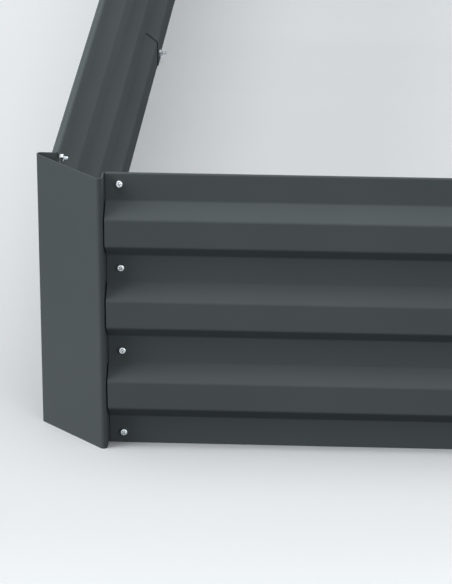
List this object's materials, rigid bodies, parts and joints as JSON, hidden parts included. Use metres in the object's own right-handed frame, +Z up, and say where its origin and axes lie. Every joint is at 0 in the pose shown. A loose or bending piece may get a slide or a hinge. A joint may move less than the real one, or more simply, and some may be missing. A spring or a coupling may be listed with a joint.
{
  "type": "raised garden bed",
  "caption": "Rectangular raised garden bed, open at top and bottom, with horizontally ribbed sheet-steel walls, slanted corner posts, machine screws and a cross brace.",
  "frame": {"origin": "on the ground under the middle of the bed", "axes": "+X along the short front wall, +Y along the long side walls from the front wall to the rear wall, +Z up"},
  "size_m": [0.9, 2.4, 0.3],
  "materials": {
    "coated_steel": "satin anthracite powder coat",
    "zinc_fasteners": "bright zinc plate",
    "zinc_brace": "dull galvanised"
  },
  "bodies": {
    "root": {"corner_post_front_left": "coated_steel", "corner_post_front_right": "coated_steel", "corner_post_rear_right": "coated_steel", "corner_post_rear_left": "coated_steel", "front_panel": "coated_steel", "rear_panel": "coated_steel", "left_panel_front": "coated_steel", "left_panel_rear": "coated_steel", "right_panel_front": "coated_steel", "right_panel_rear": "coated_steel", "bolt_front_left_end_1": "zinc_fasteners", "bolt_front_left_end_2": "zinc_fasteners", "bolt_front_left_end_3": "zinc_fasteners", "bolt_front_left_end_4": "zinc_fasteners", "bolt_front_left_side_1": "zinc_fasteners", "bolt_front_left_side_2": "zinc_fasteners", "bolt_front_left_side_3": "zinc_fasteners", "bolt_front_left_side_4": "zinc_fasteners", "bolt_front_right_end_1": "zinc_fasteners", "bolt_front_right_end_2": "zinc_fasteners", "bolt_front_right_end_3": "zinc_fasteners", "bolt_front_right_end_4": "zinc_fasteners", "bolt_front_right_side_1": "zinc_fasteners", "bolt_front_right_side_2": "zinc_fasteners", "bolt_front_right_side_3": "zinc_fasteners", "bolt_front_right_side_4": "zinc_fasteners", "bolt_rear_right_end_1": "zinc_fasteners", "bolt_rear_right_end_2": "zinc_fasteners", "bolt_rear_right_end_3": "zinc_fasteners", "bolt_rear_right_end_4": "zinc_fasteners", "bolt_rear_right_side_1": "zinc_fasteners", "bolt_rear_right_side_2": "zinc_fasteners", "bolt_rear_right_side_3": "zinc_fasteners", "bolt_rear_right_side_4": "zinc_fasteners", "bolt_rear_left_end_1": "zinc_fasteners", "bolt_rear_left_end_2": "zinc_fasteners", "bolt_rear_left_end_3": "zinc_fasteners", "bolt_rear_left_end_4": "zinc_fasteners", "bolt_rear_left_side_1": "zinc_fasteners", "bolt_rear_left_side_2": "zinc_fasteners", "bolt_rear_left_side_3": "zinc_fasteners", "bolt_rear_left_side_4": "zinc_fasteners", "lap_bolt_left_1": "zinc_fasteners", "lap_bolt_left_2": "zinc_fasteners", "lap_bolt_left_3": "zinc_fasteners", "lap_bolt_left_4": "zinc_fasteners", "lap_bolt_right_1": "zinc_fasteners", "lap_bolt_right_2": "zinc_fasteners", "lap_bolt_right_3": "zinc_fasteners", "lap_bolt_right_4": "zinc_fasteners", "cross_brace": "zinc_brace"}
  },
  "joints": []
}
